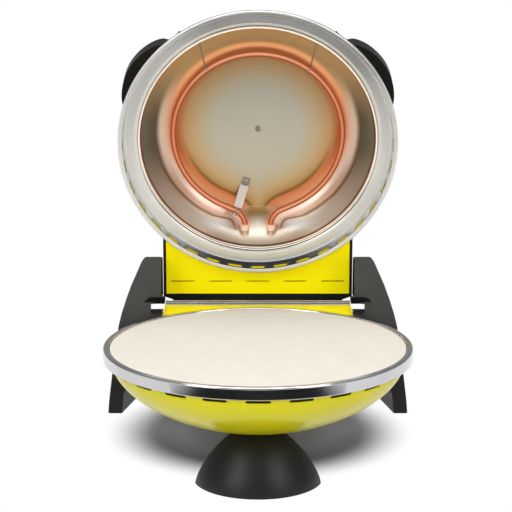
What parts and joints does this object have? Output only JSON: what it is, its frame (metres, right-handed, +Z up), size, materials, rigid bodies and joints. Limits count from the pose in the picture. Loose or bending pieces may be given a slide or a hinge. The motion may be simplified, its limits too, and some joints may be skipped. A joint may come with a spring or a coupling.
{
  "type": "electric pizza maker",
  "caption": "Round countertop pizza oven: yellow bowl base with a baking stone, slotted domed lid with a glowing ring element, black legs and side grips, rear hinge.",
  "frame": {"origin": "on the table, under the middle of the open object's outline box", "axes": "+Z up, -Y towards the front where the stone is, +X to the viewer's right"},
  "size_m": [0.3472, 0.4484, 0.4668],
  "materials": {
    "yellow_enamel": "stove enamelled, smooth and glossy",
    "chrome_steel": "bright plated",
    "cordierite_stone": "fine dry fired stone",
    "aluminised_steel": "aluminised sheet",
    "dark_element": "oxidised sheath",
    "plain_steel": "plain steel",
    "ceramic": "glazed ceramic",
    "black_plastic": "moulded, fine grain",
    "gloss_black_plastic": "moulded, half gloss",
    "black_rubber": "moulded",
    "satin_stainless": "satin",
    "polished_stainless": "polished",
    "hot_element": "glowing element sheath",
    "hot_ferrule": "ceramic sleeve lit by the element",
    "felt": "pressed ceramic felt",
    "bronze": "sintered bronze",
    "amber_lens": "clear moulded lens",
    "brown_plastic": "phenolic moulding",
    "white_plastic": "moulded"
  },
  "bodies": {
    "base": {"bowl_shell": "yellow_enamel", "base_rim_ring": "chrome_steel", "baking_stone": "cordierite_stone", "lower_reflector_pan": "aluminised_steel", "lower_heating_element": "dark_element", "lower_element_clips": "plain_steel", "lower_element_ferrules": "ceramic", "pan_posts": "plain_steel", "pan_screws": "plain_steel", "rear_deck": "yellow_enamel", "deck_trim": "chrome_steel", "deck_bottom_plate": "plain_steel", "deck_screws": "plain_steel", "terminal_block": "ceramic", "thermal_cutout": "plain_steel", "cable_gland": "black_plastic", "front_foot": "black_plastic", "foot_screws": "plain_steel", "foot_pads": "black_rubber", "left_leg": "black_plastic", "right_leg": "black_plastic", "leg_screws": "plain_steel", "hinge_axle": "plain_steel", "axle_caps": "plain_steel", "stop_bar": "plain_steel", "lid_stops": "black_rubber"},
    "lid": {"lid_dome": "yellow_enamel", "lid_rim_ring": "satin_stainless", "lid_reflector": "polished_stainless", "upper_heating_element": "hot_element", "upper_element_ferrules": "hot_ferrule", "element_hangers": "plain_steel", "element_clip": "polished_stainless", "clip_screw": "plain_steel", "centre_bolt": "plain_steel", "insulation_disc": "felt", "rear_box_housing": "black_plastic", "rear_box_panel": "yellow_enamel", "rear_box_cover": "yellow_enamel", "cover_screws": "plain_steel", "hinge_bushes": "bronze", "left_handle": "gloss_black_plastic", "right_handle": "gloss_black_plastic", "handle_screws": "plain_steel", "knob_hub": "gloss_black_plastic", "dial_plate": "satin_stainless", "pilot_lamp": "amber_lens", "thermostat_body": "brown_plastic", "thermostat_bracket": "plain_steel"},
    "knob": {"thermostat_spindle": "plain_steel", "thermostat_knob": "gloss_black_plastic", "knob_pointer": "white_plastic"}
  },
  "joints": [
    {"name": "lid_hinge", "type": "hinge", "parent": "base", "child": "lid", "pos_m": [0, 0.14183, 0.108], "axis": [1, 0, 0], "range_deg": [0, 76.8]},
    {"name": "knob_turn", "type": "hinge", "parent": "lid", "child": "knob", "pos_m": [0, 0.20263, 0.3318], "axis": [0, 0.9736, 0.2284], "range_deg": [-270, 0]}
  ]
}
